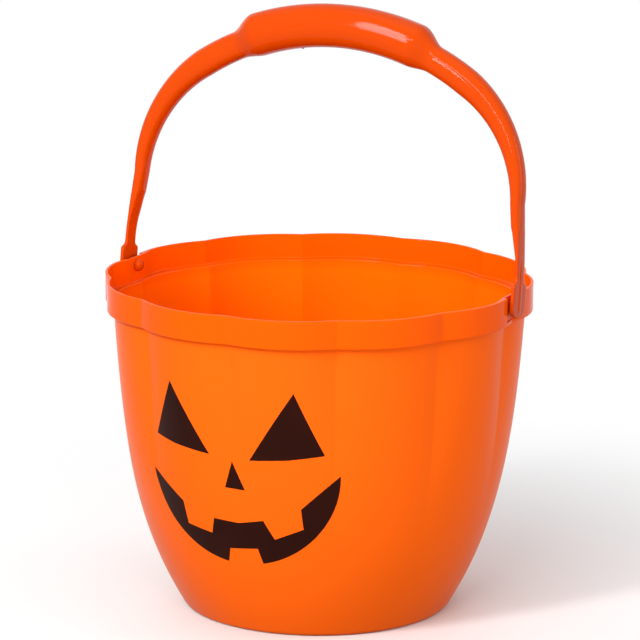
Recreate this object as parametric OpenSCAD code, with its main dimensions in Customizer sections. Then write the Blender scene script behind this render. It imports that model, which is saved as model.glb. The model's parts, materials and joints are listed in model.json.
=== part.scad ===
/* [Pail] */
// Mean radius of the lobed rim
rim_r = 110; // [90:1:130]
// Height of the rim above the table
pail_h = 173.9; // [150:0.1:200]
// Number of pumpkin lobes around the pail
lobe_count = 12; // [8:1:16]
// Depth of the groove between two lobes
lobe_depth = 3.5; // [1:0.1:6]
// Height of the stepped band below the rim
band_h = 14.6; // [11:0.1:18]
// How far the band stands out from the body below it
band_step = 4; // [2:0.1:6]
// Thickness of the moulded wall
wall_t = 1.4; // [1:0.1:2]
// Width of the small bevels along the edges of the rim
rim_edge = 0.4; // [0.2:0.1:0.5]
// How far the straight part of the wall draws in towards the base
side_taper = 10.1; // [5:0.1:15]
// How far the bowl-shaped part of the wall draws in towards the base
bowl_depth = 26.6; // [15:0.1:32]
// How sharply the bowl turns in at its foot, a plain number
bowl_power = 3.35; // [2.5:0.05:4]
// Radius of the rounded corner at the foot
foot_corner = 2.6; // [2:0.1:4]
// Width of the ring that the pail stands on
foot_w = 3; // [2:0.1:5]
// Height of the base panel's underside above the table
base_lift = 2; // [1:0.1:3]

/* [Bail pivots] */
// Depth of the bail's axis below the rim
pivot_drop = 4.6; // [4.2:0.1:6]
// Inset of the flat land that each peg goes through, from the mean rim radius
land_inset = 2.3; // [2:0.1:3]
// Width of the pocket in the band around the land
pocket_w = 18.8; // [16:0.1:22]
// Radius of the pocket's two inner corners
pocket_corner = 1.5; // [0.5:0.1:2]
// Thickness of the lip left under the pocket
pocket_lip = 1.8; // [1:0.1:3]
// Width of the flat boss inside the rim, behind the pocket
boss_w = 23; // [21:0.5:28]
// Radius of the bail's pegs
peg_r = 2.2; // [1.8:0.1:2.4]
// Running clearance of a peg in its hole, on the radius
peg_gap = 0.08; // [0.03:0.01:0.1]
// Radius of the split snap head on each peg
head_r = 3.3; // [2.6:0.1:3.6]
// Length of the snap head
head_l = 3.5; // [2.4:0.1:4]
// Width of the slot that lets the snap head squeeze together
slot_w = 1; // [0.6:0.1:1.4]
// Play of the bail along its axis, on each side
side_gap = 0.3; // [0.2:0.05:0.6]
// Radius of the collar that spaces each pad from the land
collar_r = 3.4; // [3:0.1:4]

/* [Bail] */
// Angle that the raised bail leans back from upright
bail_lean = 9.5; // [0:0.5:15]
// Distance of each pad's inner face from the land
pad_gap = 2.7; // [2.6:0.1:4]
// Thickness of the flat pads at the bail's ends
pad_t = 2.1; // [1.8:0.1:3]
// Width of the pads
pad_w = 16.4; // [12:0.1:16.6]
// Reach of a pad below the axis
pad_below = 6.4; // [5:0.1:7]
// Reach of a pad's straight sides above the axis
pad_above = 8.8; // [7:0.1:9.5]
// Height of the sloping shoulders from the pad to the arm
shoulder_h = 2.4; // [2:0.1:5]
// Radius of a pad's lower corners
pad_corner = 4.4; // [3:0.1:5]
// Width of the rib down the outside of each pad
rib_w = 2.2; // [1.5:0.1:3]
// Height of that rib
rib_h = 0.4; // [0.2:0.1:0.8]
// How far each arm's middle line has come in from the pad's where the arch begins
arm_inset = 4.3; // [3:0.1:5]
// Height above the axis where the arch begins
haunch_z = 50; // [45:1:60]
// Height of the step where the oval arm narrows to a strap
step_z = 38; // [34:0.5:42]
// Depth of that step on the inside of the arm
step_t = 0.6; // [0.3:0.1:1.5]
// How much the crown's radius is over half the span of the arms
crown_flat = 29.6; // [25:0.1:32]
// Depth of the crown's centre below the axis
crown_drop = 5; // [2:0.5:8]
// Thickness of the strap just above the pad
strap_t = 2; // [1.6:0.1:3]
// Width of the strap just above the pad
strap_w = 8.2; // [6:0.1:9]
// Thickness of the arm where the arch begins
arm_t = 6.3; // [5.5:0.1:8]
// Width of the arm where the arch begins
arm_w = 10.8; // [8:0.1:12]
// Thickness of the arm where it meets the grip
crown_t = 14.6; // [12:0.1:16]
// Width of the arm where it meets the grip
crown_w = 13; // [11:0.1:16]
// Thickness of the grip
grip_t = 22.9; // [18:0.1:24]
// Width of the grip
grip_w = 23; // [18:0.5:26]
// Distance of the grip's middle line outside that of the arms
grip_rise = 1.9; // [0:0.1:2.5]
// Length of the grip along its middle line
grip_l = 92.6; // [85:0.1:105]
// Length of the cone from the grip down to each arm
cone_length = 9; // [5:0.1:12]

/* [Printed face] */
// Thickness of the ink, drawn a little thick
ink_t = 0.2; // [0.1:0.05:0.4]
// Gap between the ink and the faceted wall under it
ink_gap = 0.02; // [0.01:0.01:0.05]
// Angle that the print is turned round the pail from its front
face_turn = -0.5; // [-4:0.5:4]
// Width of each eye
eye_w = 35.7; // [28:0.1:38]
// Height of each eye
eye_h = 35.9; // [28:0.1:40]
// Distance of each eye's middle from the face's middle line
eye_x = 29; // [24:0.1:31]
// Height of the eyes' inner corners above the table
eye_z = 100; // [95:0.1:105]
// Width of the nose
nose_w = 11; // [8:0.5:14]
// Height of the nose
nose_h = 14.5; // [10:0.1:16]
// Height of the nose's lower edge above the table
nose_z = 83.3; // [80:0.1:88]
// Radius of the mouth's lower edge
mouth_r = 52.7; // [46:0.1:56]
// Distance of the mouth's middle from the face's middle line
mouth_x = 0.8; // [-2:0.1:2]
// Height of the mouth's centre above the table
mouth_z = 94.5; // [92:0.5:97]

/* [Hidden] */
$fn = 64;
cut = 1;

pail_color = [0.96, 0.40, 0.06];
bail_color = [0.90, 0.30, 0.03];
ink_color = [0.16, 0.07, 0.06];

// Lobes: each is an arc through its crest and the grooves on both sides
half_lobe = 180 / lobe_count;
crest_r = rim_r + lobe_depth / 2;
groove_r = rim_r - lobe_depth / 2;
lobe_c = (crest_r * crest_r - groove_r * groove_r) / (2 * (crest_r - groove_r * cos(half_lobe)));
lobe_arc = crest_r - lobe_c;
lobe_steps = 8;
sides = lobe_count * lobe_steps;

// Offset of an angle from the middle of its lobe
function lobe_angle(a) = (a + 360) % (2 * half_lobe) - half_lobe;

// Outline of the rim, as a share of its mean radius over or under that radius
function lobe_wave(a) = let (p = lobe_angle(a))
    (lobe_c * cos(p) + sqrt(lobe_arc * lobe_arc - pow(lobe_c * sin(p), 2))) / rim_r - 1;

// Body of the pail below the band
body_h = pail_h - band_h;
body_r = rim_r - band_step;
flute_start_share = 0.25;

// Mean radius of the body at a share of its height
function body_at(t) = body_r - side_taper * (1 - t) - bowl_depth * pow(1 - t, bowl_power);

// Depth of the lobes in the body, from nothing near the foot to all of it at the band
function flute_at(t) = let (s = max(0, (t - flute_start_share) / (1 - flute_start_share)))
    s * s * (3 - 2 * s);

// Heights of the rings on the body, as shares of its height
ring_shares = [0.05, 0.10, 0.16, 0.23, 0.31, 0.40, 0.50, 0.60, 0.70, 0.80, 0.90, 1];

// A ring is [height, mean radius, depth of the lobes, inset from that outline]
function body_ring(t, inset) = [t * body_h, body_at(t), flute_at(t), inset];
function band_ring(z, inset) = [z, rim_r, 1, inset];
function ring_point(ring, a) = let (r = ring[1] * (1 + ring[2] * lobe_wave(a)) - ring[3])
    [r * cos(a), r * sin(a), ring[0]];

function reversed(list) = [for (i = [len(list) - 1:-1:0]) list[i]];

// Section of the wall, up the outside and down the inside
base_top = base_lift + wall_t;
foot_z = foot_corner / 6;
foot_r = body_at(0) - foot_corner / 2;
foot_in = foot_r - foot_w / 2;
ledge_h = wall_t;
outside = concat(
    [[foot_z, foot_r, 0, 0]],
    [[foot_corner / 2, body_at(0), 0, 0]],
    [for (t = ring_shares) body_ring(t, 0)],
    [band_ring(body_h + rim_edge / 2, rim_edge / 2)],
    [band_ring(body_h + rim_edge, 0)],
    [band_ring(pail_h - rim_edge, 0)],
    [band_ring(pail_h, rim_edge)]);
inside = concat(
    [band_ring(pail_h, wall_t - rim_edge)],
    [band_ring(pail_h - rim_edge, wall_t)],
    [band_ring(body_h + ledge_h, wall_t)],
    [for (t = reversed(ring_shares)) body_ring(min(t, 1 - ledge_h / body_h), wall_t)],
    [[base_top - rim_edge, foot_in, 0, 0]],
    [[foot_z, foot_in, 0, 0]]);
wall_rings = concat(outside, inside);

// A closed ring of rings: a tube whose section is the list
module ring_tube(rings) {
    n = len(rings);
    points = [for (ring = rings, i = [0:sides - 1]) ring_point(ring, 360 * i / sides)];
    faces = [for (j = [0:n - 1], i = [0:sides - 1], half = [0, 1])
        let (k = (j + 1) % n, m = (i + 1) % sides)
        half == 0 ? [j * sides + i, k * sides + i, k * sides + m]
                  : [j * sides + i, k * sides + m, j * sides + m]];
    polyhedron(points, faces);
}

// Base panel with the ring that the pail stands on
base_edge = foot_in + foot_w / 3;
module base() {
    difference() {
        cylinder(h = base_top, r = base_edge);
        translate([0, 0, -cut])
            cylinder(h = base_lift + cut, r = base_edge - foot_w);
    }
}

// Pivot places, all on the X axis
pivot_z = pail_h - pivot_drop;
land_x = rim_r - land_inset;
boss_x = land_x - wall_t;
boss_t = wall_t * 2;
pad_in = land_x + pad_gap;
pad_x = pad_in + pad_t / 2;
pocket_z = body_h + pocket_lip;
hole_r = peg_r + peg_gap;

// Flat boss that backs the land on the inside of the rim
module pivot_boss() {
    z = body_h + ledge_h / 2;
    translate([boss_x, -boss_w / 2, z])
        cube([boss_t, boss_w, pail_h - rim_edge - z]);
}

// Pocket in the band that the pad stands in front of
module pivot_pocket() {
    deep = crest_r - land_x + cut;
    tall = band_h + cut;
    translate([land_x + pocket_corner, -pocket_w / 2, pocket_z])
        cube([deep, pocket_w, tall]);
    translate([land_x, pocket_corner - pocket_w / 2, pocket_z])
        cube([deep, pocket_w - 2 * pocket_corner, tall]);
    for (side = [-1, 1])
        translate([land_x + pocket_corner, side * (pocket_w / 2 - pocket_corner), pocket_z])
            cylinder(h = tall, r = pocket_corner);
}

module pail() {
    color(pail_color)
    difference() {
        union() {
            ring_tube(wall_rings);
            base();
            for (side = [0, 1])
                mirror([side, 0, 0]) pivot_boss();
        }
        for (side = [0, 1])
            mirror([side, 0, 0]) {
                pivot_pocket();
                translate([boss_x - cut, 0, pivot_z])
                    rotate([0, 90, 0])
                    cylinder(h = wall_t + 2 * cut, r = hole_r);
            }
    }
}

// Middle line of the bail: a leg, an arc for the haunch and a wider arc for the crown
arm_x = pad_x - arm_inset;
crown_r = arm_x + crown_flat;
haunch_x = (pow(haunch_z + crown_drop, 2) - crown_flat * crown_flat) / (2 * crown_flat);
haunch_r = arm_x - haunch_x;
crown_start = atan2(haunch_z + crown_drop, haunch_x);
grip_half = grip_l / 2 / crown_r * 180 / PI;
cone_angle = cone_length / crown_r * 180 / PI;

// Rows of the strap from inside the pad up to the step: heights, how far each has come in from the
// pad's middle towards the arm's, and its thickness and width. Its inside passes the rim's crest with
// little to spare when the bail swings down, so it only thickens above that.
neck_z = pad_above + shoulder_h;
strap_z = [pad_above / 2, neck_z - shoulder_h / 2, neck_z, neck_z * 3 / 2, neck_z * 2,
    (neck_z * 2 + step_z) / 2, step_z - step_t];
strap_in_shares = [0, 0, 0.01, 0.04, 0.12, 0.35, 0.62];
strap_t_shares = [0.7, 0.85, 1, 0.9, 0.96, 1.5, 2.3];
strap_w_shares = [0.8, 0.9, 1, 1.02, 1.05, 1.1, 1.16];
step_w_share = 0.92;

// Sections of the arm are [x, height above the axis, tilt, thickness, width]
strap = [for (i = [0:len(strap_z) - 1])
    [pad_x - arm_inset * strap_in_shares[i], strap_z[i], 0, strap_t * strap_t_shares[i],
        strap_w * strap_w_shares[i]]];
function stepped(ring) = [ring[0] - step_t / 2, step_z, 0, ring[3] + step_t, arm_w * step_w_share];
leg = concat(strap, [stepped(strap[len(strap) - 1])]);
haunch_steps = 10;
haunch = [for (i = [0:haunch_steps])
    let (s = i / haunch_steps, a = crown_start * s)
    [haunch_x + haunch_r * cos(a), haunch_z + haunch_r * sin(a), a,
        arm_t + (crown_t - arm_t) * s, arm_w + (crown_w - arm_w) * s]];
function crown_ring(a, r, t, w) = [r * cos(a), r * sin(a) - crown_drop, a, t, w];
arm_end = 90 - grip_half - cone_angle;
crown = [for (a = [(crown_start + arm_end) / 2, arm_end])
    crown_ring(a, crown_r, crown_t, crown_w)];
grip_r = crown_r + grip_rise;
grip_steps = 5;
edge_share = 0.12;
grip = concat(
    [crown_ring(90 - grip_half - cone_angle * edge_share, grip_r - grip_rise * edge_share,
        grip_t - (grip_t - crown_t) * edge_share, grip_w - (grip_w - crown_w) * edge_share)],
    [for (i = [0:grip_steps])
        crown_ring(90 - grip_half * (1 - i / grip_steps) * (1 - edge_share / 2), grip_r, grip_t, grip_w)]);
half_bail = concat(leg, haunch, crown, grip);
function across(ring) = [-ring[0], ring[1], 180 - ring[2], ring[3], ring[4]];
bail_rings = concat(half_bail, [for (i = [len(half_bail) - 2:-1:0]) across(half_bail[i])]);

// Sections are ovals with slightly flattened sides
section_sides = 16;
oval_power = 0.9;
function flat_pow(v) = sign(v) * pow(abs(v), oval_power);
function section_point(ring, a) =
    let (t = ring[3] / 2 * flat_pow(cos(a)), w = ring[4] / 2 * flat_pow(sin(a)))
    [ring[0] + t * cos(ring[2]), w, ring[1] + t * sin(ring[2])];

// Arms and grip in one sweep along the middle line
module arch() {
    n = len(bail_rings);
    m = section_sides;
    points = [for (ring = bail_rings, i = [0:m - 1]) section_point(ring, 360 * (i + 0.5) / m)];
    faces = concat(
        [[for (i = [0:m - 1]) i]],
        [[for (i = [m - 1:-1:0]) (n - 1) * m + i]],
        [for (j = [0:n - 2], i = [0:m - 1], half = [0, 1])
            let (k = (i + 1) % m)
            half == 0 ? [j * m + i, (j + 1) * m + i, (j + 1) * m + k]
                      : [j * m + i, (j + 1) * m + k, j * m + k]]);
    polyhedron(points, faces);
}

// Outline of a pad: rounded at the bottom, sloping in to the arm at the top
corner_steps = 6;
function pad_half(side) = concat(
    [for (i = [0:corner_steps]) let (a = 90 * i / corner_steps)
        [side * (pad_w / 2 - pad_corner * (1 - sin(a))), pad_corner * (1 - cos(a)) - pad_below]],
    [[side * pad_w / 2, pad_above], [side * strap_w / 2, neck_z]]);

module pad() {
    translate([pad_in, 0, 0])
        rotate([90, 0, 90])
        linear_extrude(pad_t)
        polygon(concat(pad_half(1), reversed(pad_half(-1))));
    translate([pad_x, -rib_w / 2, pad_corner / 2 - pad_below])
        cube([pad_t / 2 + rib_h, rib_w, pad_below + pad_above]);
}

// Peg with its collar and split snap head, pointing in through the land
head_x = boss_x - side_gap;
tip_share = 0.9;
module peg() {
    difference() {
        rotate([0, -90, 0]) {
            translate([0, 0, -pad_x])
                cylinder(h = pad_x - head_x + head_l / 4, r = peg_r);
            translate([0, 0, -pad_x])
                cylinder(h = pad_x - land_x - side_gap, r = collar_r);
            translate([0, 0, -head_x])
                cylinder(h = head_l / 4, r = head_r);
            translate([0, 0, head_l / 4 - head_x])
                cylinder(h = head_l * 3 / 4, r1 = head_r, r2 = peg_r * tip_share);
        }
        translate([head_x - head_l - cut, -slot_w / 2, -head_r - cut])
            cube([head_l + wall_t / 2 + side_gap + cut, slot_w, 2 * (head_r + cut)]);
    }
}

module bail() {
    color(bail_color)
    translate([0, 0, pivot_z])
    rotate([-bail_lean, 0, 0])
    union() {
        arch();
        for (side = [0, 1])
            mirror([side, 0, 0]) {
                pad();
                peg();
            }
    }
}

// Thin patch of the body's front surface, a named gap outside it
skin_half_angle = 55;
skin_sides = ceil(skin_half_angle * sides / 360);
skin_low_share = 0.15;
skin_high_share = 0.95;
module ink_skin() {
    rings = [for (t = ring_shares) if (t > skin_low_share && t < skin_high_share) t];
    rows = len(rings);
    cols = 2 * skin_sides + 1;
    layers = [ink_gap, ink_gap + ink_t];
    points = [for (layer = layers, t = rings, i = [-skin_sides:skin_sides])
        ring_point(body_ring(t, -layer), 270 + 360 * i / sides)];
    size = rows * cols;
    sheet = [for (layer = [0, 1], j = [0:rows - 2], i = [0:cols - 2], half = [0, 1])
        let (p = layer * size + j * cols + i,
            tri = half == 0 ? [p, p + 1, p + cols + 1] : [p, p + cols + 1, p + cols])
        layer == 1 ? [tri[0], tri[2], tri[1]] : tri];
    edge = concat([for (i = [0:cols - 1]) i], [for (j = [1:rows - 1]) j * cols + cols - 1],
        [for (i = [cols - 2:-1:0]) (rows - 1) * cols + i], [for (j = [rows - 2:-1:1]) j * cols]);
    count = len(edge);
    rim = [for (i = [0:count - 1], half = [0, 1])
        let (a = edge[i], b = edge[(i + 1) % count])
        half == 0 ? [a, b + size, b] : [a, a + size, b + size]];
    polyhedron(points, concat(sheet, rim));
}

// Keeps the part of the ink that lies in front of a flat outline
module printed(x, z) {
    color(ink_color)
    intersection() {
        ink_skin();
        rotate([90, 0, face_turn])
            linear_extrude(2 * rim_r)
            translate([x, z])
            children();
    }
}

// Eye outlines as shares of their width and height: inner corner, low edge, outer corner, top
eye_left_shares = [[-0.483, 0.011], [0.117, 0.072], [0.493, 0.139], [0.158, 0.99]];
eye_right_shares = [[-0.515, -0.014], [0.034, 0.028], [0.51, 0.098], [0.157, 1.006]];
nose_shares = [[-0.355, 0.014], [0.655, -0.014], [0.064, 1]];

// Mouth outline as shares of its radius: the upper edge from right to left, and the lower tooth
mouth_top_shares = [[0.645, -0.376], [0.65, -0.583], [0.372, -0.704], [0.279, -0.514], [0.017, -0.564],
    [-0.245, -0.548], [-0.285, -0.712], [-0.568, -0.664], [-0.604, -0.433]];
mouth_tooth_shares = [[-0.103, -0.846], [0.19, -0.816]];
mouth_left_angle = 190;
mouth_right_angle = 358;
tooth_left_angle = 262;
tooth_right_angle = 283;
mouth_steps = 12;
function mouth_edge(from, to) = [for (i = [0:mouth_steps])
    let (a = from + (to - from) * i / mouth_steps) mouth_r * [cos(a), sin(a)]];

module eye_print_left() {
    printed(-eye_x, eye_z)
        polygon([for (p = eye_left_shares) [-p[0] * eye_w, p[1] * eye_h]]);
}

module eye_print_right() {
    printed(eye_x, eye_z)
        polygon([for (p = eye_right_shares) [p[0] * eye_w, p[1] * eye_h]]);
}

module nose_print() {
    printed(0, nose_z)
        polygon([for (p = nose_shares) [p[0] * nose_w, p[1] * nose_h]]);
}

module mouth_print() {
    printed(mouth_x, mouth_z)
        polygon(concat(
            mouth_edge(mouth_left_angle, tooth_left_angle),
            [for (p = mouth_tooth_shares) p * mouth_r],
            mouth_edge(tooth_right_angle, mouth_right_angle),
            [for (p = mouth_top_shares) p * mouth_r]));
}

pail();
bail();
eye_print_left();
eye_print_right();
nose_print();
mouth_print();
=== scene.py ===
"""Pumpkin candy pail: the finish of its two mouldings and its printed face. Lengths are in metres."""

import json
import math

import bmesh
import bpy
import numpy as np
from mathutils import Matrix, Vector
from mathutils.bvhtree import BVHTree


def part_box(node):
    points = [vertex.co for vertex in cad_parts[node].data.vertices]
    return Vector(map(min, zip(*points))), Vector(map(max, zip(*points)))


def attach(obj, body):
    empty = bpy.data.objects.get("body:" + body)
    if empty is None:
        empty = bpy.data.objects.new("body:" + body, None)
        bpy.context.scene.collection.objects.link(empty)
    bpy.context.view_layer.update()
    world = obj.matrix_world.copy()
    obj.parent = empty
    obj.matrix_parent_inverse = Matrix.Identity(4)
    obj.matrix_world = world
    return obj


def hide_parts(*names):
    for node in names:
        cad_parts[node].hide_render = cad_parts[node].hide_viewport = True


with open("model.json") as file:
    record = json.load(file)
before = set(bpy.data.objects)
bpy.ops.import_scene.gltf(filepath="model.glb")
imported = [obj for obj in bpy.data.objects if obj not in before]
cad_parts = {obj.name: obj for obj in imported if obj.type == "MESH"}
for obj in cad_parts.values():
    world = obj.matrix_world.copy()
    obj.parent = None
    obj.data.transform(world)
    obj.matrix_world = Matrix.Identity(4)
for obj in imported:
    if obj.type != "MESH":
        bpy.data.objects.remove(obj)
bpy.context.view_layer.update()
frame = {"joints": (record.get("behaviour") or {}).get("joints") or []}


# The pail is one injection moulding of orange polypropylene. It is turned in the mould as a plain
# bowl with a stepped band and a foot ring, and twelve shallow lobes are pressed into that form.
rim_radius = 0.110
rim_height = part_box("pail")[1].z
wall = 0.0014
band_height = 0.0146
band_step = 0.004
side_taper = 0.0101
bowl_depth = 0.0266
bowl_power = 3.35
foot_radius = 0.0645
foot_width = 0.0048
foot_softness = 0.0022
base_lift = 0.002
gate_radius = 0.0015
gate_height = 0.0006
floor_softness = 0.0035
floor_corner = 0.0692
hub_radius = 0.0004
gate_softness = 0.0002
ring_softness = 0.0003
corner_softness = 0.0004
edge_softness = 0.0005
shelf_softness_outer, shelf_softness_inner = 0.0007, 0.0011
lobes = 12
lobe_depth = 0.0035
groove_softness = math.radians(0.4)
flutes_start_share = 0.25
body_height = rim_height - band_height
body_radius = rim_radius - band_step
body_rows = 44
first_body_height = 0.003
last_body_gap = 0.0008


def body_reach(height):
    """Mean radius of the bowl's outside at a height above the table."""
    below = 1 - height / body_height
    return body_radius - side_taper * below - bowl_depth * below**bowl_power


def soften(corners, steps=4):
    """Points of an outline whose corners, each (a, b, softness), are rounded off."""
    points = []
    places = [Vector(corner[:2]) for corner in corners]
    for i, (place, corner) in enumerate(zip(places, corners)):
        softness = corner[2]
        if softness == 0:
            points.append(place)
            continue
        towards = [(places[j] - place) for j in (i - 1, i + 1)]
        before, after = (place + step.normalized() * softness for step in towards)
        lead_in, lead_out = (place + step.normalized() * softness * 1.8 for step in towards)
        if towards[0].length > 4 * softness:
            points.append(lead_in)
        for step in range(steps + 1):
            t = step / steps
            points.append(before * (1 - t)**2 + place * 2 * t * (1 - t) + after * t**2)
        if towards[1].length > 4 * softness:
            points.append(lead_out)
    return points


# The band has a pocket at each end of the bail, cut back to a flat land, and a soft boss inside.
land_x = rim_radius - 0.0023
pocket_half = 0.0094
pocket_corner = 0.0015
pocket_floor = body_height + 0.0018
boss_flat = 0.0065
boss_fade = 0.019
ledge_rises = (-0.0004, -0.0002, -0.00008, -0.00002, 0.00002, 0.00008, 0.0002, 0.0004)
ledge_depth_shares = (0, 0, 0.08, 0.25, 0.75, 0.95, 1, 1)

body_span = body_height - first_body_height - last_body_gap
body_heights = [first_body_height + body_span * i / body_rows for i in range(body_rows + 1)]
band_inside = rim_radius - wall
middle_height = (pocket_floor + rim_height) / 2
shelf_height = body_height + wall
floor_height = base_lift + wall
section = soften(
    [(hub_radius, base_lift - gate_height, 0), (gate_radius, base_lift - gate_height, gate_softness)]
    + [(gate_radius, base_lift, gate_softness), (foot_radius / 2, base_lift, 0)]
    + [(foot_radius, base_lift, corner_softness), (foot_radius, 0, ring_softness)]
    + [(foot_radius + foot_width, 0, foot_softness)]
    + [(body_reach(z), z, 0) for z in body_heights]
    + [(body_radius, body_height, corner_softness), (rim_radius, body_height, edge_softness)]
    + [(rim_radius, pocket_floor + rise, 0) for rise in ledge_rises]
    + [(rim_radius, middle_height, 0)]
    + [(rim_radius, rim_height, corner_softness), (band_inside, rim_height, corner_softness)]
    + [(band_inside, middle_height, 0)]
    + [(band_inside, shelf_height, shelf_softness_outer)]
    + [(body_radius - wall, shelf_height, shelf_softness_inner)]
    + [(body_reach(z) - wall, z, 0) for z in reversed(body_heights[2:])]
    + [(floor_corner, floor_height, floor_softness), (foot_radius / 2, floor_height, 0)]
    + [(hub_radius, floor_height, 0)])
section = np.array([tuple(point) for point in section])
rim_row = int(np.argmax(section[:, 1]))

# The mesh has a column at each of these turns, close together by the grooves, pockets and bosses.
half_lobe = math.pi / lobes
lobe_steps = 17
lobe_columns = [half_lobe * (step / lobe_steps)**2 for step in range(lobe_steps + 1)]
quarter_turns = [math.radians(15 * step) for step in range(7)]
pocket_marks = [pocket_half - pocket_corner * (1 - math.sin(a)) for a in quarter_turns]
pocket_marks += [pocket_half + step for step in (0.00005, 0.00012, 0.00025, 0.0005)]
boss_marks = [boss_flat + boss_fade * share / 8 for share in range(9)]
pivot_columns = lobe_columns + [math.asin(y / land_x) for y in pocket_marks]
pivot_columns += [math.asin(y / (land_x - wall)) for y in boss_marks]

turns = []
for half in range(2 * lobes):
    beside_pivot = half in (0, lobes - 1, lobes, 2 * lobes - 1)
    offsets = sorted(pivot_columns if beside_pivot else lobe_columns)
    from_groove = half % 2 == 0
    groove = (half + half % 2) * half_lobe
    turns += [groove + offset * (1 if from_groove else -1) for offset in offsets]
turns = np.unique(np.round(np.mod(turns, 2 * math.pi), 7))
turns = turns[np.append(np.diff(turns) > math.radians(0.02), turns[-1] < 2 * math.pi - 0.0004)]


def grid_mesh(name, points, closed_rows=False, capped=False):
    """A mesh over points[column, row]; columns wrap round, and the first and last rows may be capped."""
    columns, rows = points.shape[:2]
    faces = []
    for i in range(columns):
        j = (i + 1) % columns
        for k in range(rows - 1):
            faces.append((i * rows + k, j * rows + k, j * rows + k + 1, i * rows + k + 1))
    vertices = [tuple(p) for p in points.reshape(-1, 3)]
    if capped:
        for row in (0, rows - 1):
            hub = len(vertices)
            vertices.append(tuple(points[:, row].mean(0)))
            for i in range(columns):
                edge = (i * rows + row, (i + 1) % columns * rows + row)
                faces.append((hub, *(edge if row else reversed(edge))))
    mesh = bpy.data.meshes.new(name)
    mesh.from_pydata(vertices, [], faces)
    mesh.update()
    return mesh


def outward(mesh):
    """Turns every face of a closed mesh outwards and smooths its shading."""
    work = bmesh.new()
    work.from_mesh(mesh)
    bmesh.ops.recalc_face_normals(work, faces=work.faces)
    work.to_mesh(mesh)
    work.free()
    mesh.shade_smooth()


def placed(name, mesh):
    """A new object that shows a mesh, at the origin."""
    made = bpy.data.objects.new(name, mesh)
    bpy.context.scene.collection.objects.link(made)
    return made


def taken_out(made):
    """The mesh that an object's modifiers give, with the object itself removed."""
    seen = made.evaluated_get(bpy.context.evaluated_depsgraph_get())
    mesh = bpy.data.meshes.new_from_object(seen)
    name = made.name
    bpy.data.objects.remove(made)
    mesh.name = name
    return mesh


class Wire:
    """An output of a node. Arithmetic on it adds Math nodes to its tree."""

    def __init__(self, wiring, socket):
        self.wiring, self.socket = wiring, socket

    def math(self, operation, *others):
        return self.wiring.math(operation, self, *others)

    def __add__(self, other):
        return self.wiring.math("ADD", self, other)

    def __radd__(self, other):
        return self.wiring.math("ADD", other, self)

    def __sub__(self, other):
        return self.wiring.math("SUBTRACT", self, other)

    def __rsub__(self, other):
        return self.wiring.math("SUBTRACT", other, self)

    def __mul__(self, other):
        return self.wiring.math("MULTIPLY", self, other)

    def __rmul__(self, other):
        return self.wiring.math("MULTIPLY", other, self)

    def __truediv__(self, other):
        return self.wiring.math("DIVIDE", self, other)

    def __rtruediv__(self, other):
        return self.wiring.math("DIVIDE", other, self)


class Wiring:
    """A node tree, and the one way that this file adds a node to it."""

    def __init__(self, tree):
        self.tree = tree

    def node(self, kind, settings=None, sockets=None):
        """Adds a node, sets it, then fills its sockets with values or wires."""
        made = self.tree.nodes.new(kind)
        for name, value in (settings or {}).items():
            setattr(made, name, value)
        for name, value in (sockets or {}).items():
            if isinstance(value, Wire):
                self.tree.links.new(value.socket, made.inputs[name])
            else:
                made.inputs[name].default_value = value
        return made

    def wire(self, kind, settings=None, sockets=None, output=0):
        """Adds a node and gives one of its outputs."""
        return Wire(self, self.node(kind, settings, sockets).outputs[output])

    def math(self, operation, *terms):
        return self.wire("ShaderNodeMath", {"operation": operation}, dict(enumerate(terms)))


def lobing_tree():
    """Presses pumpkin lobes into a turned form: arcs from groove to groove that fade out downwards."""
    tree = bpy.data.node_groups.new("pumpkin_lobes", "GeometryNodeTree")
    for name, kind in (("Turned form", "Geometry"), ("Lobes", "Int"), ("Lobe depth", "Float"),
                       ("Rim radius", "Float"), ("Groove softness", "Float"), ("Flutes start", "Float"),
                       ("Flutes end", "Float"), ("Finish", "Material")):
        tree.interface.new_socket(name=name, in_out="INPUT", socket_type="NodeSocket" + kind)
    tree.interface.new_socket(name="Lobed form", in_out="OUTPUT", socket_type="NodeSocketGeometry")
    wiring = Wiring(tree)
    given = wiring.node("NodeGroupInput").outputs
    count, depth, radius = (Wire(wiring, given[name]) for name in ("Lobes", "Lobe depth", "Rim radius"))
    position = wiring.wire("GeometryNodeInputPosition")
    parts = wiring.node("ShaderNodeSeparateXYZ", None, {0: position}).outputs
    x, y, z = (Wire(wiring, socket) for socket in parts)
    turn = y.math("ARCTAN2", x)
    reach = (x * x + y * y).math("SQRT")

    half = math.pi / count
    crest, groove = radius + depth / 2, radius - depth / 2
    centre = (crest * crest - groove * groove) / (2 * (crest - groove * half.math("COSINE")))
    arc = crest - centre
    from_crest = (turn.math("WRAP", 2 * half, 0) - half).math("ABSOLUTE")
    from_groove = half - from_crest
    softness = Wire(wiring, given["Groove softness"])
    eased = half - (from_groove * from_groove + softness * softness).math("SQRT")
    sideways = centre * eased.math("SINE")
    outline = centre * eased.math("COSINE") + (arc * arc - sideways * sideways).math("SQRT")
    fluting = wiring.wire("ShaderNodeMapRange", {"interpolation_type": "SMOOTHSTEP"},
                          {"Value": z, "From Min": Wire(wiring, given["Flutes start"]),
                           "From Max": Wire(wiring, given["Flutes end"])})
    share = 1 + fluting * (outline / radius - 1)

    moved = wiring.wire("ShaderNodeCombineXYZ", None, {"X": x * share, "Y": y * share, "Z": z})
    bent = wiring.wire("GeometryNodeSetPosition", None,
                       {"Geometry": Wire(wiring, given["Turned form"]), "Position": moved})
    real = wiring.wire("GeometryNodeRealizeInstances", None, {0: bent})
    done = wiring.wire("GeometryNodeSetMaterial", None,
                       {"Geometry": real, "Material": Wire(wiring, given["Finish"])})
    wiring.node("NodeGroupOutput", None, {"Lobed form": done})
    return tree


satin_grain = 0.000004


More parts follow.
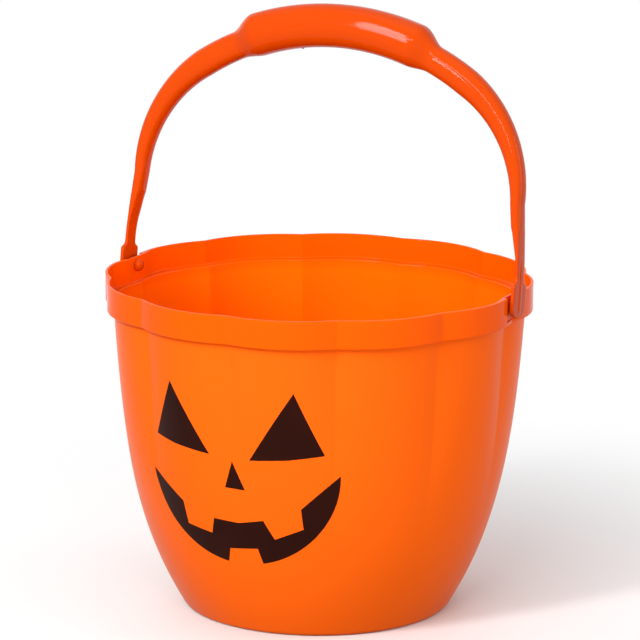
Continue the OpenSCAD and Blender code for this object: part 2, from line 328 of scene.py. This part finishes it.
def moulded_plastic(name, satin_colour_painted_sheen, gloss_colour, painted_bounce_colour, roughness, ripple, mirror_level):
    """Injection-moulded polypropylene: a colour with faint flow clouds, a surface that is never quite
    flat, and a fine grain on its satin parts, where the attribute named gloss is 0. The satin parts get a
    paler colour than the polished ones: painted sheen. Where the attribute named inside is 1, the colour
    is brighter and deeper: painted bounce light from the pail's own orange walls."""
    material = bpy.data.materials.new(name)
    material.use_nodes = True
    wiring = Wiring(material.node_tree)
    material.node_tree.nodes.clear()
    place = wiring.wire("ShaderNodeTexCoord", None, None, "Object")
    gloss = wiring.wire("ShaderNodeAttribute", {"attribute_name": "gloss"}, None, "Fac")
    inside = wiring.wire("ShaderNodeAttribute", {"attribute_name": "inside"}, None, "Fac")
    clouds = wiring.wire("ShaderNodeTexNoise", None, {"Vector": place, "Scale": 16.0, "Detail": 2.0})
    flow = wiring.wire("ShaderNodeTexNoise", None, {"Vector": place, "Scale": 38.0, "Detail": 1.0})
    grain = wiring.wire("ShaderNodeTexNoise", None, {"Vector": place, "Scale": 2200.0, "Detail": 1.0})
    # The satin colour is paler than the polished one: painted sheen.
    outer = wiring.wire("ShaderNodeMix", {"data_type": "RGBA"},
                        {"Factor": gloss, "A": (*satin_colour_painted_sheen, 1), "B": (*gloss_colour, 1)}, "Result")
    # Where inside is 1 the colour is brighter and deeper: painted bounce light from the pail's own walls.
    tint = wiring.wire("ShaderNodeMix", {"data_type": "RGBA"},
                       {"Factor": inside, "A": outer, "B": (*painted_bounce_colour, 1)}, "Result")
    toned = wiring.wire("ShaderNodeVectorMath", {"operation": "SCALE"},
                        {0: tint, "Scale": 1.03 - 0.06 * clouds})
    satin, glossy = roughness
    rough = satin + (glossy - satin) * gloss + 0.04 * (clouds - 0.5)
    height = ripple * flow + satin_grain * (1 - gloss) * grain
    bump = wiring.wire("ShaderNodeBump", None, {"Strength": 1.0, "Distance": 1.0, "Height": height})
    surface = wiring.wire("ShaderNodeBsdfPrincipled", None,
                          {"Base Color": toned, "Roughness": rough, "Normal": bump, "IOR": 1.49,
                           "Specular IOR Level": mirror_level})
    wiring.node("ShaderNodeOutputMaterial", None, {"Surface": surface})
    return material


# The satin orange is paler than the polished one: painted sheen.
pail_orange_satin_painted_sheen = (0.99, 0.128, 0.005)
pail_orange_polished = (0.93, 0.098, 0.0005)
# The inside orange is brighter and deeper: painted bounce light from the pail's own walls.
pail_orange_painted_bounce = (0.99, 0.148, 0.001)
pail_plastic = moulded_plastic("pail_plastic", pail_orange_satin_painted_sheen, pail_orange_polished, pail_orange_painted_bounce,
                               (0.32, 0.075), 0.00008, 0.05)

around = np.stack([np.cos(turns), np.sin(turns)], 1)
turned = np.concatenate([around[:, None, :] * section[None, :, :1],
                         np.broadcast_to(section[None, :, 1:], (len(turns), len(section), 1))], 2)
turned_bowl = placed("turned_bowl", grid_mesh("turned_bowl", turned, capped=True))
lobing = turned_bowl.modifiers.new("pumpkin_lobes", "NODES")
lobing.node_group = lobing_tree()
settings = {"Lobes": lobes, "Lobe depth": lobe_depth, "Rim radius": rim_radius,
            "Groove softness": groove_softness, "Flutes start": flutes_start_share * body_height,
            "Flutes end": body_height, "Finish": pail_plastic}
for item in lobing.node_group.interface.items_tree:
    if item.name in settings:
        lobing[item.identifier] = settings[item.name]
pail_mesh = taken_out(turned_bowl)

# Each pocket and boss shifts the wall along X, from the plan of its outside and that of its inside.
pocket_softness = 0.00025
# Depth below the inner shelf over which the painted bounce light fades in.
painted_bounce_fade = 0.004
reaches, rises = section.T
corners = np.array([vertex.co for vertex in pail_mesh.vertices])
wall_points = corners[:-2].reshape(len(turns), len(section), 3)
outer_row, inner_row = np.flatnonzero(np.abs(rises - middle_height) < 0.000001)
outer_plan, inner_plan = wall_points[:, outer_row], wall_points[:, inner_row]


def eased(t):
    """A ramp from 0 to 1 with soft ends."""
    t = np.clip(t, 0, 1)
    return t * t * (3 - 2 * t)


def softer_min(a, b, softness):
    """The smaller of two values, eased where they cross."""
    mix = np.clip(0.5 + 0.5 * (b - a) / softness, 0, 1)
    return b * (1 - mix) + a * mix - softness * mix * (1 - mix)


def flat_with_corner(y, flat, half, corner):
    """Plan of a flat at one X whose ends turn outwards through a quarter circle."""
    into = np.clip(np.abs(y) - (half - corner), 0, corner)
    turned_out = flat + corner - np.sqrt(corner**2 - into**2)
    return np.where(np.abs(y) > half + 1e-6, 1.0, turned_out)


through = np.clip((rim_radius - reaches) / wall, 0, 1)
over_shelf = np.clip((band_inside - reaches) / (band_step - corner_softness), 0, 1)
rows = np.arange(len(section))
first_ledge_row = int(np.argmin(np.abs(rises - pocket_floor - ledge_rises[0])[:rim_row]))
outer_share = np.where(rows < inner_row, 1 - through, 0) * (rows >= first_ledge_row)
outer_share[first_ledge_row:first_ledge_row + len(ledge_rises)] = ledge_depth_shares
on_band = (rises > shelf_height - 0.0001) & (rows > rim_row - 6)
inner_share = np.where(on_band, through * (1 - over_shelf), 0)
for end in (1, -1):
    at_end = end * outer_plan[:, 0] > 0.9 * rim_radius
    cut_plan = flat_with_corner(outer_plan[:, 1], land_x, pocket_half, pocket_corner)
    swelling = 1 - eased((np.abs(inner_plan[:, 1]) - boss_flat) / boss_fade)
    cut = end * outer_plan[:, 0] - softer_min(end * outer_plan[:, 0], cut_plan, pocket_softness)
    raised = swelling * np.maximum(0, end * inner_plan[:, 0] - land_x + wall)
    shift = outer_share * cut[:, None] + inner_share * raised[:, None]
    wall_points[:, :, 0] -= end * np.where(at_end[:, None], shift, 0)
    on_ledge = at_end & (np.abs(outer_plan[:, 1]) < pocket_half)
    for step, rise in enumerate(ledge_rises):
        if abs(rise) < 0.0001:
            wall_points[on_ledge, first_ledge_row + step, 2] = pocket_floor + rise * 0.4
pail_mesh.vertices.foreach_set("co", np.concatenate([wall_points.reshape(-1, 3), corners[-2:]]).ravel())
pail_mesh.update()

# The mould is polished for the band and the inside. The two points past the rows are the middles of
# the base, which is satin, and of the floor, which is polished.
glossy_rows = (rises > body_height - edge_softness) | (rows > rim_row)
# Below the shelf, fading in over a few millimetres, the inside takes the colour with painted bounce
# light; the inside of the band keeps the polished colour.
painted_bounce_rows = np.clip((shelf_height - rises) / painted_bounce_fade, 0, 1) * (rows > rim_row)
for kind, by_row in (("gloss", glossy_rows), ("inside", painted_bounce_rows)):
    values = np.append(np.tile(by_row, len(turns)), (0, 1)).astype(np.float32)
    pail_mesh.attributes.new(kind, "FLOAT", "POINT").data.foreach_set("value", values)
outward(pail_mesh)

# A peg hole goes through each land, a little wider than the peg.
pivot = Vector(frame["joints"][0]["pos_m"])
peg_radius = 0.0022
peg_clearance = 0.00008


def rod(name, outline, sides=48):
    """A turned solid along X, from an outline of (x, radius) points."""
    angles = [2 * math.pi * side / sides for side in range(sides)]
    points = np.array([[(x, r * math.cos(a), r * math.sin(a)) for x, r in outline] for a in angles])
    mesh = grid_mesh(name, points, capped=True)
    outward(mesh)
    return mesh


def carved(name, mesh, tools, operation):
    """A mesh with other meshes cut from it or joined to it."""
    body = placed(name, mesh)
    helpers = [placed(f"{name}_tool_{i}", tool) for i, tool in enumerate(tools)]
    for helper in helpers:
        step = body.modifiers.new(helper.name, "BOOLEAN")
        step.operation, step.solver, step.object = operation, "EXACT", helper
    result = taken_out(body)
    for helper in helpers:
        bpy.data.objects.remove(helper)
    return result


hole_radius = peg_radius + peg_clearance
holes = []
for end in (1, -1):
    hole = rod("peg_hole", [(end * x, hole_radius) for x in (land_x - 2 * wall, land_x + wall)])
    hole.transform(Matrix.Translation(pivot))
    holes.append(hole)
pail_mesh = carved("pail_moulding", pail_mesh, holes, "DIFFERENCE")
pail_moulding = placed("pail_moulding", pail_mesh)
pail_mesh.set_sharp_from_angle(angle=math.radians(50))
pail_mesh.materials.clear()
pail_mesh.materials.append(pail_plastic)
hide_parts("pail")
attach(pail_moulding, "pail")


# The face is pad-printed on the front of the pail in four patches of dark brown ink. Each patch is
# cut as a flat outline, then laid on the lobed wall behind it as a film a few hundredths thick.
face_turn = math.radians(-0.5)
film_height = 0.00006
film_root = 0.00003
film_grid = 0.0025
eye_width, eye_height = 0.0357, 0.0359
eye_middle, eye_foot = 0.029, 0.100
nose_width, nose_height, nose_foot = 0.011, 0.0145, 0.0833
mouth_radius, mouth_middle = 0.0527, (0.0008, 0.0945)
left_eye_shares = ((-0.483, 0.011), (0.117, 0.072), (0.493, 0.139), (0.158, 0.99))
right_eye_shares = ((-0.515, -0.014), (0.034, 0.028), (0.51, 0.098), (0.157, 1.006))
nose_shares = ((-0.355, 0.014), (0.655, -0.014), (0.064, 1))
mouth_top_shares = ((0.645, -0.376), (0.65, -0.583), (0.372, -0.704), (0.279, -0.514), (0.017, -0.564),
                    (-0.245, -0.548), (-0.285, -0.712), (-0.568, -0.664), (-0.604, -0.433))
mouth_tooth_shares = ((-0.103, -0.846), (0.19, -0.816))


def mouth_edge(start, end, steps=24):
    """Points along the mouth's round lower edge between two angles."""
    angles = [math.radians(start + (end - start) * i / steps) for i in range(steps + 1)]
    return [(mouth_radius * math.cos(a), mouth_radius * math.sin(a)) for a in angles]


full_ink, thin_ink = (0.017, 0.0034, 0.0019), (0.028, 0.0056, 0.0032)
ink_grain = 0.000003


def printing_ink():
    """Dark brown ink, satin, a little thin in places so that its tone is not quite even."""
    material = bpy.data.materials.new("face_ink")
    material.use_nodes = True
    wiring = Wiring(material.node_tree)
    material.node_tree.nodes.clear()
    place = wiring.wire("ShaderNodeTexCoord", None, None, "Object")
    coverage = wiring.wire("ShaderNodeTexNoise", None, {"Vector": place, "Scale": 45.0, "Detail": 3.0})
    grain = wiring.wire("ShaderNodeTexNoise", None, {"Vector": place, "Scale": 1600.0, "Detail": 1.0})
    tint = wiring.wire("ShaderNodeMix", {"data_type": "RGBA"},
                       {"Factor": coverage, "A": (*full_ink, 1), "B": (*thin_ink, 1)}, "Result")
    bump = wiring.wire("ShaderNodeBump", None,
                       {"Strength": 1.0, "Distance": 1.0, "Height": ink_grain * grain})
    surface = wiring.wire("ShaderNodeBsdfPrincipled", None,
                          {"Base Color": tint, "Roughness": 0.30 + 0.1 * coverage, "Normal": bump,
                           "IOR": 1.49, "Specular IOR Level": 0.04})
    wiring.node("ShaderNodeOutputMaterial", None, {"Surface": surface})
    return material


face_ink = printing_ink()
wall_tree = BVHTree.FromObject(pail_moulding, bpy.context.evaluated_depsgraph_get())
into_face = Matrix.Rotation(face_turn, 3, "Z") @ Vector((0, 1, 0))
across_face = Matrix.Rotation(face_turn, 3, "Z") @ Vector((1, 0, 0))


def on_wall(x, z):
    """The place and outward direction of the wall behind a point of the flat face."""
    start = across_face * x - into_face * (2 * rim_radius) + Vector((0, 0, z))
    place, normal, _, _ = wall_tree.ray_cast(start, into_face)
    return place, normal if normal.dot(into_face) < 0 else -normal


def face_patch(name, outline):
    """A patch of ink: a flat outline cut into small cells and wrapped on the wall."""
    work = bmesh.new()
    work.faces.new([work.verts.new((x, 0, z)) for x, z in outline])
    xs, zs = zip(*outline)
    for axis, low, high in (((1, 0, 0), min(xs), max(xs)), ((0, 0, 1), min(zs), max(zs))):
        lines = int((high - low) / film_grid)
        for line in range(1, lines + 1):
            at = Vector(axis) * (low + (high - low) * line / (lines + 1))
            everything = work.verts[:] + work.edges[:] + work.faces[:]
            bmesh.ops.bisect_plane(work, geom=everything, plane_co=at, plane_no=axis)
    bmesh.ops.triangulate(work, faces=[face for face in work.faces if len(face.verts) > 4])
    skin = bmesh.ops.extrude_face_region(work, geom=work.faces[:])["geom"]
    lifted = {item for item in skin if isinstance(item, bmesh.types.BMVert)}
    for vertex in work.verts:
        place, normal = on_wall(vertex.co.x, vertex.co.z)
        vertex.co = place + normal * (film_height if vertex in lifted else -film_root)
    bmesh.ops.recalc_face_normals(work, faces=work.faces)
    mesh = bpy.data.meshes.new(name)
    work.to_mesh(mesh)
    work.free()
    mesh.shade_smooth()
    mesh.set_sharp_from_angle(angle=math.radians(60))
    mesh.materials.append(face_ink)
    return placed(name, mesh)


right_eye = [(eye_middle + a * eye_width, eye_foot + b * eye_height) for a, b in right_eye_shares]
left_eye = [(-eye_middle - a * eye_width, eye_foot + b * eye_height) for a, b in left_eye_shares[::-1]]
nose = [(a * nose_width, nose_foot + b * nose_height) for a, b in nose_shares]
mouth = mouth_edge(190, 262) + [(a * mouth_radius, b * mouth_radius) for a, b in mouth_tooth_shares]
mouth += mouth_edge(283, 358) + [(a * mouth_radius, b * mouth_radius) for a, b in mouth_top_shares]
mouth = [(x + mouth_middle[0], z + mouth_middle[1]) for x, z in mouth]
for name, node, outline in (
        ("eye_left_ink", "eye_print_left", left_eye), ("eye_right_ink", "eye_print_right", right_eye),
        ("nose_ink", "nose_print", nose), ("mouth_ink", "mouth_print", mouth)):
    patch = face_patch(name, outline)
    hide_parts(node)
    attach(patch, "pail")


# The bail is a second moulding, slightly redder and glossier: two flat pads, straps that swell into
# oval arms, a wide arch and a thick grip. Its pads carry the pegs, split so that they snap in.
lean = math.radians(-9.5)
pad_inside = land_x + 0.0027
pad_thickness = 0.0021
pad_x = pad_inside + pad_thickness / 2
pad_half = 0.0082
pad_corner = 0.0044
pad_bottom = -0.0064
rib_height = 0.0004
rib_low, rib_low_fade = -0.0046, 0.0008
rib_high, rib_high_fade = 0.017, 0.009
rib_share, rib_edge_share = 0.125, 0.045
arm_x = pad_x - 0.0043
crown_rise = 0.0296
crown_radius = arm_x + crown_rise
crown_drop = 0.005
haunch_height = 0.050
haunch_x = ((haunch_height + crown_drop)**2 - crown_rise**2) / (2 * crown_rise)
haunch_radius = arm_x - haunch_x
crown_start = math.atan2(haunch_height + crown_drop, haunch_x)
arm_size, crown_size, grip_size = (0.0064, 0.0109), (0.0146, 0.0131), (0.0227, 0.023)
grip_rise = 0.0019
grip_turn = 0.0882 / 2 / crown_radius
cone_turn = 0.0134 / crown_radius
arm_square, grip_square = 2.5, 2.4

# Rows of a leg are height above the pivot, middle, thickness, width and squareness of its section.
leg_rows = np.array([
    (pad_bottom + pad_corner, pad_x, pad_thickness, 2 * pad_half, 9.0),
    (0.0088, pad_x, pad_thickness, 2 * pad_half, 9.0),
    (0.0094, pad_x, pad_thickness, 0.0158, 8.0),
    (0.0102, pad_x, 0.00205, 0.0130, 6.0),
    (0.0110, pad_x - 0.00002, 0.0020, 0.0104, 5.5),
    (0.0117, pad_x - 0.00006, 0.0020, 0.0096, 5.5),
    (0.0130, pad_x - 0.00014, 0.0019, 0.0093, 5.5),
    (0.0168, pad_x - 0.00024, 0.00187, 0.0095, 5.0),
    (0.0224, pad_x - 0.00062, 0.0020, 0.0099, 4.8),
    (0.0302, pad_x - 0.00170, 0.0032, 0.0103, 4.5),
    (0.0377, pad_x - 0.00285, 0.0048, 0.0103, 3.9),
    (0.0381, pad_x - 0.00298, 0.0051, 0.0103, 3.6),
    (0.0440, pad_x - 0.00366, 0.0059, 0.0107, 2.8),
    (haunch_height, arm_x, *arm_size, arm_square)])


def monotone(x, xs, ys):
    """A smooth curve through a table's points that never overshoots them."""
    slopes = np.diff(ys) / np.diff(xs)
    tangents = np.zeros(len(xs))
    rising = slopes[:-1] * slopes[1:] > 0
    tangents[1:-1][rising] = 2 / (1 / slopes[:-1][rising] + 1 / slopes[1:][rising])
    tangents[-1] = slopes[-1]
    i = np.clip(np.searchsorted(xs, x) - 1, 0, len(xs) - 2)
    span = xs[i + 1] - xs[i]
    t = (x - xs[i]) / span
    return (ys[i] * (1 + 2 * t) * (1 - t)**2 + tangents[i] * span * t * (1 - t)**2
            + ys[i + 1] * t * t * (3 - 2 * t) + tangents[i + 1] * span * t * t * (t - 1))


stations = []
for a in quarter_turns[:0:-1]:
    height = pad_bottom + pad_corner * (1 - math.sin(a))
    thickness = pad_thickness * (0.8 if a == quarter_turns[-1] else 1)
    width = 2 * (pad_half - pad_corner * (1 - math.cos(a)))
    stations.append((pad_x, height, 0, thickness, width, 9.0))
leg_heights = np.unique(np.concatenate([leg_rows[:, 0], np.linspace(leg_rows[0, 0], haunch_height, 30)]))
for height in leg_heights[:-1]:
    middle, thickness, width, square = (
        monotone(height, leg_rows[:, 0], leg_rows[:, column]) for column in range(1, 5))
    stations.append((middle, height, 0, thickness, width, square))
for share in np.linspace(0, 1, 22)[:-1]:
    a = crown_start * share
    thickness, width = (np.array(arm_size) * (1 - share) + np.array(crown_size) * share)
    stations.append((haunch_x + haunch_radius * math.cos(a), haunch_height + haunch_radius * math.sin(a),
                     a, thickness, width, arm_square))
arm_end = math.pi / 2 - grip_turn - cone_turn
grip_start = arm_end + cone_turn
crown_turns = [*np.linspace(crown_start, arm_end, 12)[:-1],
               *np.linspace(arm_end, grip_start, 12)[:-1],
               *np.linspace(grip_start, math.pi / 2, 20)]
for a in crown_turns:
    share = eased((a - arm_end) / cone_turn)
    radius = crown_radius + grip_rise * share
    thickness, width = (np.array(crown_size) * (1 - share) + np.array(grip_size) * share)
    stations.append((radius * math.cos(a), radius * math.sin(a) - crown_drop, a, thickness, width,
                     arm_square * (1 - share) + grip_square * share))
far_half = [(-x, z, math.pi - a, *rest) for x, z, a, *rest in reversed(stations[:-1])]

side_angles = [math.radians(a) for a in (15, 22.5, 30, 37.5, 45, 52.5, 60, 67.5, 75, 80, 84, 87, 90)]
side_shares = [0, 0.06, 0.125, 0.14, 0.155, 0.17, 0.2] + [math.sin(a) for a in side_angles]
side_shares = np.array([-s for s in side_shares[:0:-1]] + side_shares)


def bail_section(x, height, turn, thickness, width, square):
    """One ring of the bail: outer face, then inner face, with the rib down the middle of the outer."""
    bulge = thickness / 2 * np.maximum(0, 1 - np.abs(side_shares)**square)**(1 / square)
    rib = rib_height * eased((height - rib_low) / rib_low_fade)
    rib = rib * (1 - eased((height - rib_high) / rib_high_fade))
    ribbed = bulge + rib * (1 - eased((np.abs(side_shares) - rib_share) / rib_edge_share))
    outs = np.concatenate([ribbed, -bulge[-2:0:-1]])
    sides = np.concatenate([side_shares, side_shares[-2:0:-1]]) * width / 2
    return np.stack([x + outs * math.cos(turn), sides, height + outs * math.sin(turn)], 1)


rings = np.stack([bail_section(*station) for station in stations + far_half], 1)
bail_mesh = grid_mesh("bail", rings, capped=True)
outward(bail_mesh)

# Each peg is a collar, a shaft through the hole and a head wider than it, with a slot across the head.
side_play = 0.0003
collar_radius = 0.0034
head_radius = 0.0033
head_length = 0.0035
slot_width = 0.0006
boss_face = land_x - wall
head_back = boss_face - side_play
head_tip = head_back - head_length
head_flank = 0.0006
tip_radius = 0.0001
dome = [(head_back - head_flank - (head_length - head_flank) * math.cos(a),
         max(tip_radius, head_radius * math.sin(a)), 0) for a in quarter_turns]
peg_outline = soften([
    *dome, (head_back, head_radius, 0.00015),
    (head_back, peg_radius, 0.00015), (land_x + side_play, peg_radius, 0.00015),
    (land_x + side_play, collar_radius, 0.0003), (pad_inside, collar_radius + 0.0002, 0),
    (pad_x, collar_radius, 0), (pad_x, tip_radius, 0)])
pegs = []
for end in (1, -1):
    peg = rod("peg", [(end * x, r) for x, r in peg_outline])
    slot_end = head_back + wall / 2
    slot_box = bmesh.new()
    bmesh.ops.create_cube(slot_box, size=1)
    slot = bpy.data.meshes.new("slot")
    slot_box.to_mesh(slot)
    slot_box.free()
    slot_span = slot_end - head_tip + wall
    slot.transform(Matrix.Translation((end * (slot_end - slot_span / 2), 0, 0))
                   @ Matrix.Diagonal((slot_span, slot_width, 4 * head_radius, 1)))
    pegs.append(carved("peg", peg, [slot], "DIFFERENCE"))

# The gate's stub is left on the underside of the grip, beside its middle.
stub_radius = 0.0006
stub_angle = math.pi / 2 + 0.149
stub_reach = crown_radius + grip_rise - grip_size[0] / 2
stub_outline = [(-0.001, stub_radius), (0.0002, stub_radius), (0.0004, stub_radius * 0.6)]
stub = rod("gate_stub", stub_outline, sides=16)
stub.transform(Matrix.Translation((stub_reach * math.cos(stub_angle), 0,
                                   stub_reach * math.sin(stub_angle) - crown_drop))
               @ Matrix.Rotation(math.pi - stub_angle, 4, "Y"))
bail_mesh = carved("bail_moulding", bail_mesh, [*pegs, stub], "UNION")
bail_mesh.transform(Matrix.Translation(pivot) @ Matrix.Rotation(lean, 4, "X"))
gloss = bail_mesh.attributes.new("gloss", "FLOAT", "POINT")
gloss.data.foreach_set("value", np.ones(len(bail_mesh.vertices), np.float32))
bail_mesh.shade_smooth()
bail_mesh.set_sharp_from_angle(angle=math.radians(50))

bail_orange = (0.60, 0.054, 0.0001)
bail_plastic = moulded_plastic("bail_plastic", bail_orange, bail_orange, bail_orange,
                               (0.16, 0.05), 0.00002, 0.08)
bail_mesh.materials.clear()
bail_mesh.materials.append(bail_plastic)
bail_moulding = placed("bail_moulding", bail_mesh)
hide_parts("bail")
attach(bail_moulding, "bail")


# The studio is a pale floor with a white surround. Soft lamps stand above it, in front, at both sides
# and behind, and the two fill lamps give light but no mirror image in the glossy plastic.
def pale_floor():
    """A matt floor that carries the object's shadow and turns into the white surround further out."""
    material = bpy.data.materials.new("pale_floor")
    material.use_nodes = True
    wiring = Wiring(material.node_tree)
    material.node_tree.nodes.clear()
    place = wiring.wire("ShaderNodeTexCoord", None, None, "Object")
    away = wiring.wire("ShaderNodeVectorMath", {"operation": "LENGTH"}, {0: place}, "Value")
    beyond = wiring.wire("ShaderNodeMapRange", {"interpolation_type": "SMOOTHSTEP"},
                         {"Value": away, "From Min": 0.12, "From Max": 0.45})
    rays = wiring.node("ShaderNodeLightPath").outputs
    seen = Wire(wiring, rays["Is Camera Ray"]).math("MAXIMUM", Wire(wiring, rays["Is Glossy Ray"]))
    seen = seen.math("MAXIMUM", Wire(wiring, rays["Is Transmission Ray"]))
    bounced, shown = 0.12, 0.86
    tone = wiring.wire("ShaderNodeMix", {"data_type": "RGBA"},
                       {"Factor": seen, "A": (bounced, bounced, bounced, 1),
                        "B": (shown, shown, shown, 1)}, "Result")
    lit = wiring.wire("ShaderNodeBsdfDiffuse", None, {"Color": tone})
    glow = wiring.wire("ShaderNodeEmission", None, {"Color": (1, 1, 1, 1), "Strength": 1.0})
    both = wiring.wire("ShaderNodeMixShader", None, {"Fac": beyond * seen, 1: lit, 2: glow})
    wiring.node("ShaderNodeOutputMaterial", None, {"Surface": both})
    return material


floor_size = 12.0
floor_mesh = bpy.data.meshes.new("studio_floor")
half_floor = floor_size / 2
floor_mesh.from_pydata([(-half_floor, -half_floor, 0), (half_floor, -half_floor, 0),
                        (half_floor, half_floor, 0), (-half_floor, half_floor, 0)], [], [(0, 1, 2, 3)])
floor_mesh.materials.append(pale_floor())
studio_floor = placed("studio_floor", floor_mesh)

surround = bpy.data.worlds.new("surround")
bpy.context.scene.world = surround
surround.use_nodes = True
surround.node_tree.nodes.clear()
wiring = Wiring(surround.node_tree)
rays = wiring.node("ShaderNodeLightPath").outputs
straight = Wire(wiring, rays["Is Camera Ray"])
for ray in ("Is Glossy Ray", "Is Transmission Ray"):
    straight = straight.math("MAXIMUM", Wire(wiring, rays[ray]))
room_light = 0.42
backdrop = wiring.wire("ShaderNodeBackground", None,
                       {"Color": (1, 1, 1, 1), "Strength": room_light + (1 - room_light) * straight})
wiring.node("ShaderNodeOutputWorld", None, {"Surface": backdrop})


def softbox(name, place, aim, size, watts, roll=0):
    """A rectangular lamp aimed at a place on the object, turned about its own axis by a roll."""
    lamp = bpy.data.lights.new(name, "AREA")
    lamp.shape = "RECTANGLE"
    lamp.size, lamp.size_y = size
    lamp.energy = watts
    made = bpy.data.objects.new(name, lamp)
    bpy.context.scene.collection.objects.link(made)
    made.location = place
    aimed = (Vector(aim) - Vector(place)).to_track_quat("-Z", "Y").to_matrix()
    made.rotation_euler = (aimed @ Matrix.Rotation(math.radians(roll), 3, "Z")).to_euler()
    return made


middle = (0, 0, 0.15)


def bearing(azimuth, elevation, distance):
    """A place seen from the object's middle, whose azimuth is 0 in front and + to the face's own left."""
    turn, rise = math.radians(azimuth), math.radians(elevation)
    return (distance * math.sin(turn) * math.cos(rise), -distance * math.cos(turn) * math.cos(rise),
            middle[2] + distance * math.sin(rise))


softbox("top_lamp", (0.1, -0.1, 1.9), middle, (1.4, 1.4), 3)
softbox("front_softbox", bearing(-20, 29, 1.9), middle, (0.26, 0.90), 23)
softbox("arch_strip", bearing(3, 28, 2.2), middle, (0.34, 1.2), 18, 78)
softbox("left_rim_lamp", bearing(-112, 25, 1.6), middle, (0.9, 0.9), 3)
softbox("right_rim_lamp", bearing(115, 12, 1.6), middle, (0.7, 0.9), 6)
front_fill = softbox("front_fill", bearing(38, 5, 2.2), middle, (1.4, 0.6), 23)
front_fill.visible_glossy = False
back_fill = softbox("back_fill", bearing(205, 18, 2.2), middle, (1.4, 1.0), 14)
back_fill.visible_glossy = False

# The camera stands two metres off, to the face's own left, and looks down on the pail into its mouth.
camera_data = bpy.data.cameras.new("camera")
camera_data.lens = 214.373
camera_data.sensor_width = 36
camera_data.dof.use_dof = False
camera = bpy.data.objects.new("camera", camera_data)
bpy.context.scene.collection.objects.link(camera)
camera_turn, camera_dip, camera_roll = (math.radians(a) for a in (25.083, 12.655, 0.3195))
camera.location = (0.81983, -1.74932, 0.58380)
camera.rotation_euler = (Matrix.Rotation(camera_turn, 3, "Z")
                         @ Matrix.Rotation(math.pi / 2 - camera_dip, 3, "X")
                         @ Matrix.Rotation(camera_roll, 3, "Z")).to_euler()
bpy.context.scene.camera = camera
bpy.context.scene.view_settings.view_transform = "Standard"
